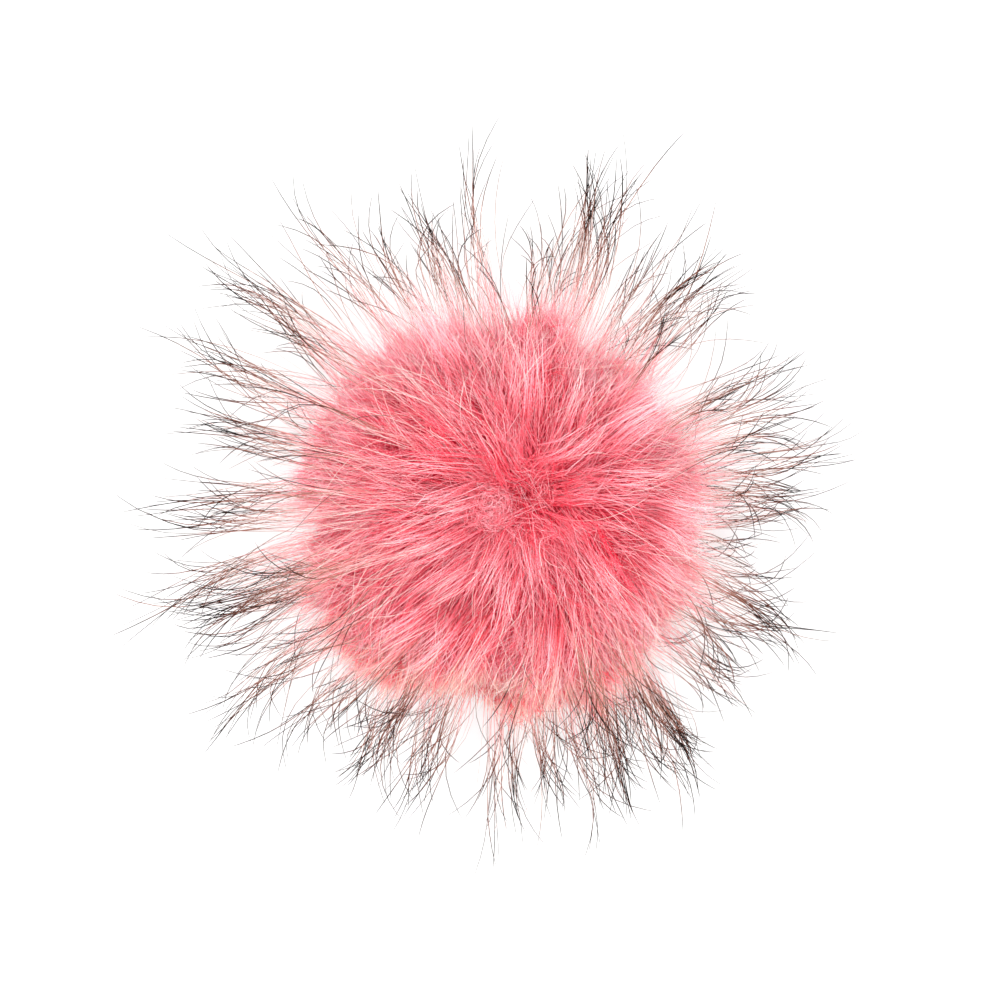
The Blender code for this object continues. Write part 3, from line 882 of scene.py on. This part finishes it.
def curl_paths(t, dice):
    """Short curled hairs on top, in loose fluff about the whorl, and their tones."""
    paths = [knot_paths(t, dice), mat_paths(t, dice)]
    tones = [dice.uniform(*KNOT_TONES, KNOT_HAIRS), dice.uniform(*MAT_TONES, MAT_HAIRS)]
    for x, y, half_x, half_y, depth, count, tone in CURLS:
        spread = dice.normal(0.0, 0.55, (count, 2)) * (half_x * MM, half_y * MM)
        starts = on_top(np.array((x, y)) * MM + spread)
        starts[:, 2] -= dice.uniform(0.0, 1.2, count) * MM + depth * MM
        first = unit(dice.normal(size=(count, 3)))
        second = unit(np.cross(first, dice.normal(size=(count, 3))))
        second[:, 2] = np.abs(second[:, 2])
        size = dice.uniform(0.7, 1.9, count) * MM
        angle = dice.uniform(0.6, 1.5, count)[:, None] * math.pi * t
        curve = first[:, None] * np.sin(angle)[..., None]
        curve = curve + second[:, None] * (1.0 - np.cos(angle))[..., None]
        paths.append(starts[:, None] + curve * size[:, None, None])
        tones.append(np.clip(tone + dice.normal(0.0, CURL_TONE_SPREAD, count), 0.0, PINK_END))
    points = np.concatenate(paths)
    return points, CURL_RADIUS * dice.uniform(0.7, 1.2, len(points)), np.concatenate(tones)


def lock_guides():
    """Middle curves of the solid's own locks, as (count, 4, 3) handles.

    A lock ends in a point where three faces meet. From there each ring of
    three corners leads to the next, down to the ring in the ball.
    """
    shape = bmesh.new()
    shape.from_mesh(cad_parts[NODE].data)
    bmesh.ops.remove_doubles(shape, verts=shape.verts, dist=1e-6)
    guides = []
    for tip in shape.verts:
        rings = [{tip}]
        ring = {edge.other_vert(tip) for edge in tip.link_edges}
        while len(ring) == 3 and len(rings) < 5:
            rings.append(ring)
            beyond = {edge.other_vert(vert) for vert in ring for edge in vert.link_edges}
            ring = beyond - ring - rings[-2]
        if len(rings) == 5:
            guides.append([np.mean([vert.co[:] for vert in ring], axis=0) for ring in rings[::-1]])
    shape.free()
    middles = np.array(guides)
    places = np.array((0.27, 0.55, 0.80))
    s = 1.0 - places
    between = middles[:, 1:4] - middles[:, :1] * (s ** 3)[:, None]
    between = between - middles[:, 4:] * (places ** 3)[:, None]
    inner = np.stack((3.0 * s * s * places, 3.0 * s * places * places), axis=1)
    handles = np.einsum("kp,npc->nkc", np.linalg.pinv(inner), between)
    return np.concatenate((middles[:, :1], handles, middles[:, 4:]), axis=1)


def guard_paths(guides, t, dice):
    """Guard hair: each lock's hairs close in to a bundle, then splay at the tips."""
    bearing = np.degrees(np.arctan2(guides[:, 3, 1], guides[:, 3, 0])) % 360.0
    bearings = np.linspace(0.0, 360.0, len(GUARD_PER_LOCK) + 1)
    wanted = np.interp(bearing, bearings, (*GUARD_PER_LOCK, GUARD_PER_LOCK[0]))
    hairs = np.floor(wanted + dice.random(len(guides))).astype(int)
    lock = np.repeat(np.arange(len(guides)), hairs)
    count = len(lock)
    gaps = np.linalg.norm(guides[:, None, 2] - guides[None, :, 2], axis=2)
    weights = np.exp(-(gaps / BUNDLE_REACH) ** 2)
    bundle = weights @ guides[:, 2] / np.sum(weights, axis=1, keepdims=True)
    curves = guides[lock].copy()
    curves[:, 2] += (bundle[lock] - curves[:, 2]) * BUNDLE_GRIP
    out = unit(guides[:, 1] - guides[:, 0])[lock]
    curves[:, 0] -= out * GUARD_ROOT_DEPTH
    spread = dice.normal(0.0, 1.0, (count, 3))
    spread -= out * np.sum(spread * out, axis=1, keepdims=True)
    curves[:, 0] += spread * GUARD_ROOT_SPREAD
    curves[:, 1] += spread * GUARD_SHAFT_SPREAD
    curves[:, 2] += dice.normal(0.0, 1.5 * MM, (count, 3))
    heading = unit(curves[:, 3] - curves[:, 2])
    across = np.cross(heading, np.array((0.0, 0.0, 1.0)))
    bend = across * dice.normal(0.0, GUARD_BEND, (count, 1))
    curves[:, 2] -= bend * 0.45
    curves[:, 3] += bend
    curves[:, 3, 2] += dice.normal(0.0, GUARD_TIP_RISE, count)
    length = 0.76 + 0.34 * dice.beta(2.0, 1.4, count)
    length *= np.interp(bearing, *zip(*GUARD_STRETCH))[lock]
    curves = curves[:, :1] + (curves - curves[:, :1]) * length[:, None, None]
    tones = np.clip(dice.normal(*GUARD_TONE, count), 0.02, 0.99)
    return bezier(curves, t), GUARD_RADIUS * dice.uniform(0.6, 1.1, count), tones


def stray_paths(guides, t, dice):
    """Single guard hairs that cross the others."""
    lock = dice.integers(0, len(guides), STRAY_HAIRS)
    curves = guides[lock].copy()
    out = unit(guides[:, 1] - guides[:, 0])[lock]
    curves[:, 0] += dice.normal(0.0, 4.0 * MM, (STRAY_HAIRS, 3)) - out * STRAY_ROOT_DEPTH
    curves[:, 1] += dice.normal(0.0, 4.5 * MM, (STRAY_HAIRS, 3))
    curves[:, 2] += dice.normal(0.0, 3.0 * MM, (STRAY_HAIRS, 3))
    across = np.cross(out, np.array((0.0, 0.0, 1.0)))
    curves[:, 3] += across * dice.normal(0.0, STRAY_SPLAY, (STRAY_HAIRS, 1))
    curves[:, 3, 2] += dice.normal(0.0, 4.0 * MM, STRAY_HAIRS)
    share = dice.uniform(0.6, 1.0, STRAY_HAIRS)[:, None, None]
    curves = curves[:, :1] + (curves - curves[:, :1]) * share
    curves[:, 1:, 2] = np.maximum(curves[:, 1:, 2], STRAY_CLEAR)
    tones = dice.uniform(0.1, 0.95, STRAY_HAIRS)
    return bezier(curves, t), GUARD_RADIUS * dice.uniform(0.5, 0.9, STRAY_HAIRS), tones


def bunched(guides, hairs, half_width, low, high, t, dice):
    """Points of hairs packed along locks, each hair of its own length."""
    lock = np.repeat(np.arange(len(guides)), hairs)
    count = len(lock)
    curves = guides[lock].copy()
    out = unit(guides[:, 1] - guides[:, 0])[lock]
    curves[:, 0] -= out * BUNCH_ROOT_DEPTH
    spread = dice.normal(0.0, half_width, (count, 3))
    spread -= out * np.sum(spread * out, axis=1, keepdims=True)
    curves += spread[:, None] * np.array((1.0, 1.0, 0.95, 0.7))[:, None]
    share = dice.uniform(low, high, count)[:, None, None]
    curves = curves[:, :1] + (curves - curves[:, :1]) * share
    return waved(bezier(curves, t), t, BUNCH_WAVE, dice), lock


def crown_tuft_paths(guides, t, dice):
    """Underfur drawn out into tufts along the short locks on top."""
    points, lock = bunched(guides, TUFT_PER_CROWN_LOCK, TUFT_HALF_WIDTH, 0.4, 1.0, t, dice)
    lock_tones = dice.normal(0.0, 0.04, len(guides))[lock]
    tones = fur_tones(points, lock_tones, 0.0, CROWN_TUFT_TONE, dice)
    return points, FLUFF_RADIUS * dice.uniform(0.75, 1.2, len(points)), tones


def rim_wool_paths(guides, t, dice):
    """Pale wool round the lower half of the long locks."""
    points, lock = bunched(guides, WOOL_PER_RIM_LOCK, WOOL_HALF_WIDTH, 0.15, 0.36, t, dice)
    lock_tones = dice.normal(0.1, 0.05, len(guides))[lock]
    tones = fur_tones(points, lock_tones, 0.0, WOOL_TONE, dice)
    return points, FLUFF_RADIUS * dice.uniform(0.45, 0.8, len(points)), tones


def thin_paths(guides, hairs, brown, t, dice):
    """Thin pale hair that follows locks; a share of it is brown at the tip."""
    lock = np.repeat(np.arange(len(guides)), hairs)
    count = len(lock)
    curves = guides[lock].copy()
    curves[:, :2] += dice.normal(0.0, 1.5 * MM, (count, 2, 3))
    curves[:, 2] += dice.normal(0.0, 1.5 * MM, (count, 3))
    curves[:, 3] += dice.normal(0.0, THIN_SPLAY, (count, 3))
    share = dice.uniform(0.6, 1.05, count)[:, None, None]
    curves = curves[:, :1] + (curves - curves[:, :1]) * share
    tones = np.where(dice.random(count) < brown, BROWN_TONE, dice.uniform(0.0, 0.6, count))
    return bezier(curves, t), PALE_RADIUS * dice.uniform(0.7, 1.1, count), tones


# ---------------------------------------------------------------- pieces

def dress(piece, material):
    """Give a piece its finish and its body, and hide the solid that it stands for."""
    piece.data.materials.clear()
    piece.data.materials.append(material)
    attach(piece, BODY)
    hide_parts(NODE)


def make_core():
    """Closed ball that the underfur grows from."""
    select_none()
    bpy.ops.mesh.primitive_ico_sphere_add(subdivisions=5, radius=1.0, location=(0.0, 0.0, 0.0))
    core = bpy.context.object
    core.name = "fur_roots"
    ways = unit(np.array([vert.co[:] for vert in core.data.vertices]))
    points = parted(ball_points(ways, root_share(ways))[:, None], np.ones(1))[:, 0]
    core.data.vertices.foreach_set("co", points.astype(np.float32).ravel())
    core.data.update()
    core.data.shade_smooth()
    return core


def make_hair():
    """All the hair, in pieces by kind and side."""
    dice = np.random.default_rng(SEED)
    models = {kind: model_hair(kind + "_hair_model", *shape)
              for kind, shape in HAIR_MODELS.items()}
    rings = {kind: ring_heights(model) for kind, model in models.items()}
    tufts = place_tufts(dice)

    def lay(name, kind, paths, finish):
        """Piece of one kind of hair along paths, given as points, radii and tones."""
        dress(lay_hairs(name, models[kind], *paths, dice), finish)

    finish = fur_finish("underfur_dye_and_shading", UNDERFUR_DYE_AND_SHADING)
    paths = underfur_paths(tufts, rings["underfur"], dice)
    turn = np.degrees(np.arctan2(paths[0][:, 0, 1], paths[0][:, 0, 0]))
    quarter = ((turn + 45.0) % 360.0 // 90.0).astype(int)
    for number, side in enumerate(("right", "back", "left", "front")):
        lay("underfur_" + side, "underfur", [part[quarter == number] for part in paths], finish)
    lay("underfur_whorl", "short", whorl_paths(rings["short"], dice), finish)

    finish = fur_finish("fluff_dye_and_shading", FLUFF_DYE_AND_SHADING)
    paths = fluff_paths(tufts, rings["short"], dice)
    left = paths[0][:, 0, 0] < 0.0
    for side, some in (("left", left), ("right", ~left)):
        lay("fluff_" + side, "short", [part[some] for part in paths], finish)
    lay("curled_fluff", "bent", curl_paths(rings["bent"], dice), finish)
    guides = lock_guides()
    at_rim = np.hypot(guides[:, 3, 0], guides[:, 3, 1]) > RIM_LOCK_REACH
    rim, crown = guides[at_rim], guides[~at_rim]
    lay("crown_tufts", "short", crown_tuft_paths(crown, rings["short"], dice), finish)
    lay("rim_wool", "short", rim_wool_paths(rim, rings["short"], dice), finish)

    finish = pale_finish()
    lay("rim_hair", "wavy", rim_paths(rings["wavy"], dice), finish)
    lay("laid_hair", "long", laid_paths(rings["long"], dice), finish)
    paths = thin_paths(crown, CROWN_PER_LOCK, CROWN_BROWN, rings["bent"], dice)
    lay("crown_hair", "bent", paths, finish)
    paths = thin_paths(rim, THIN_PER_RIM_LOCK, THIN_BROWN, rings["bent"], dice)
    lay("thin_hair", "bent", paths, finish)

    finish = guard_finish()
    lay("guard_hair", "guard", guard_paths(rim, rings["guard"], dice), finish)
    lay("stray_hair", "guard", stray_paths(rim, rings["guard"], dice), finish)

    for model in models.values():
        bpy.data.objects.remove(model, do_unlink=True)


# ---------------------------------------------------------------- studio

def make_floor():
    """Plain pale surface, lit a little from below as on a light table."""
    select_none()
    bpy.ops.mesh.primitive_plane_add(size=FLOOR_SIZE, location=(0.0, 0.0, -FLOOR_DROP))
    floor = bpy.context.object
    floor.name = "surface"
    finish = Finish("pale_surface", 0.9, 0.0)
    finish.shader.inputs["Base Color"].default_value = (FLOOR_GREY, FLOOR_GREY, FLOOR_GREY, 1.0)
    finish.shader.inputs["Emission Color"].default_value = (1.0, 1.0, 1.0, 1.0)
    finish.shader.inputs["Emission Strength"].default_value = FLOOR_GLOW
    floor.data.materials.append(finish.material)


def add_light(name, place, size, power):
    """Square soft light aimed at the ball."""
    lamp = bpy.data.lights.new(name, "AREA")
    lamp.size = size
    lamp.energy = power
    light = bpy.data.objects.new(name, lamp)
    light.location = place
    aim = Vector((0.0, 0.0, RIM_HEIGHT)) - Vector(place)
    light.rotation_euler = aim.to_track_quat("-Z", "Y").to_euler()
    bpy.context.scene.collection.objects.link(light)


def make_studio():
    """Bright soft light from all round, with a broad key from the upper left."""
    world = bpy.data.worlds.new("studio")
    world.use_nodes = True
    backdrop = world.node_tree.nodes["Background"]
    backdrop.inputs["Color"].default_value = (1.0, 1.0, 1.0, 1.0)
    backdrop.inputs["Strength"].default_value = ROUND_LIGHT
    bpy.context.scene.world = world
    for name, place, size, power in LAMPS:
        add_light(name, place, size, power)
    bpy.context.scene.view_settings.view_transform = "Standard"


def make_camera():
    """Camera straight above, framing the ball as the photograph does."""
    lens = bpy.data.cameras.new("camera")
    lens.sensor_width = SENSOR
    lens.lens = SENSOR * (CAMERA_HEIGHT - RIM_HEIGHT) / FRAME_WIDTH
    camera = bpy.data.objects.new("camera", lens)
    camera.location = (0.0, 0.0, CAMERA_HEIGHT)
    bpy.context.scene.collection.objects.link(camera)
    bpy.context.scene.camera = camera


make_camera()
make_floor()
make_studio()
dress(make_core(), core_finish())
make_hair()
